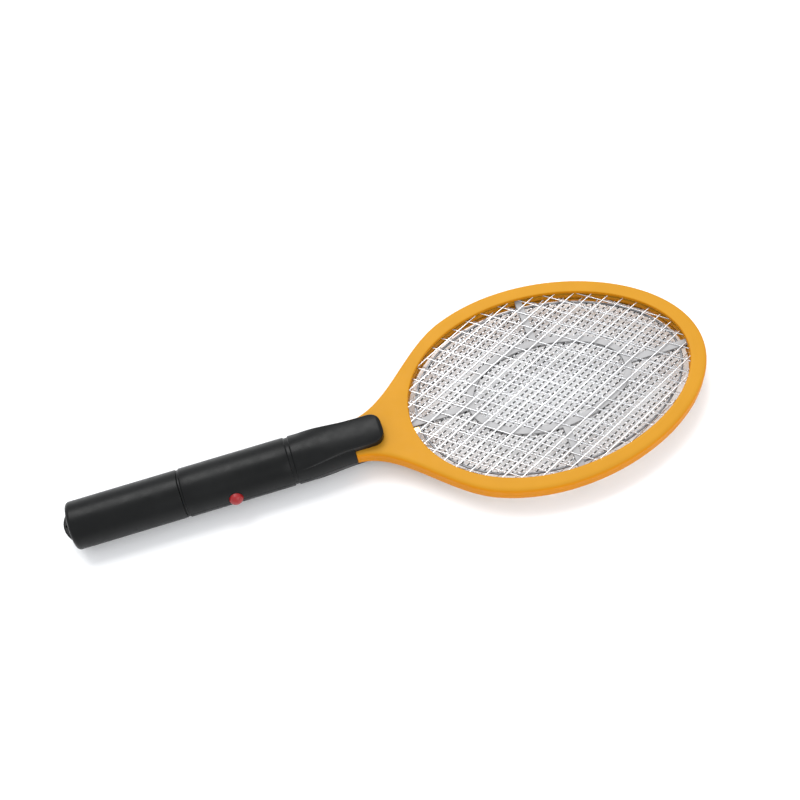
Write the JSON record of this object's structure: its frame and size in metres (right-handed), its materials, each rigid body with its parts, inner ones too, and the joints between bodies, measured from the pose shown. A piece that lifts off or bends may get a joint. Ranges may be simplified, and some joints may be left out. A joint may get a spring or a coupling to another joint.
{
  "type": "electric fly swatter",
  "caption": "Battery powered racket-shaped fly swatter: round black grip with a red push button, and a yellow oval head holding guard nets around a live wire grid.",
  "frame": {"origin": "middle of the overall box in plan, at the underside of the grip", "axes": "+X along the grip towards the tip of the head, +Z square to the nets on the side that faces up, so the button is on the -Y side"},
  "size_m": [0.46, 0.1574, 0.0345],
  "materials": {
    "yellow_plastic": "satin",
    "black_plastic": "satin",
    "red_plastic": "polished",
    "net_wire": "bright",
    "brace_plastic": "satin",
    "zinc_steel": "zinc plated",
    "nickel_steel": "nickel plated",
    "brass": "plain",
    "red_insulation": "satin",
    "black_insulation": "satin",
    "cell_jacket": "printed film with no lettering",
    "board_resin": "solder mask",
    "ferrite": "sintered",
    "winding_tape": "wound tape",
    "capacitor_resin": "dipped",
    "ceramic_blue": "dipped",
    "component_black": "moulded",
    "resistor_body": "lacquered",
    "white_plastic": "satin"
  },
  "bodies": {
    "swatter": {"frame_front": "yellow_plastic", "frame_back": "yellow_plastic", "front_guard": "net_wire", "back_guard": "net_wire", "inner_grid": "net_wire", "front_brace": "brace_plastic", "back_brace": "brace_plastic", "front_spacer": "yellow_plastic", "back_spacer": "yellow_plastic", "frame_screws": "zinc_steel", "guard_terminal": "brass", "inner_terminal": "brass", "guard_lead": "black_insulation", "inner_lead": "red_insulation", "handle_upper": "black_plastic", "handle_lower": "black_plastic", "handle_screws": "zinc_steel", "battery_tray": "black_plastic", "cell_near": "cell_jacket", "cell_far": "cell_jacket", "tail_contact": "nickel_steel", "tail_spring": "nickel_steel", "front_spring": "nickel_steel", "negative_contact": "nickel_steel", "positive_contact": "nickel_steel", "positive_lead": "red_insulation", "negative_lead": "black_insulation", "circuit_board": "board_resin", "board_screws": "zinc_steel", "transformer_core": "ferrite", "transformer_winding": "winding_tape", "storage_capacitor": "capacitor_resin", "multiplier_capacitors": "ceramic_blue", "diodes": "component_black", "resistors": "resistor_body", "transistor": "component_black", "switch_housing": "component_black"},
    "cap": {"battery_cap": "black_plastic", "cap_end_plug": "black_plastic"},
    "button": {"power_button": "red_plastic", "switch_plunger": "white_plastic"}
  },
  "joints": [
    {"name": "cap_slide", "type": "slide", "parent": "swatter", "child": "cap", "axis": [-1, 0, 0], "range_m": [0, 0.082]},
    {"name": "button_press", "type": "slide", "parent": "swatter", "child": "button", "axis": [0, 1, 0], "range_m": [0, 0.0012], "stiffness_N_per_m": 900, "springref_m": -0.0004}
  ]
}
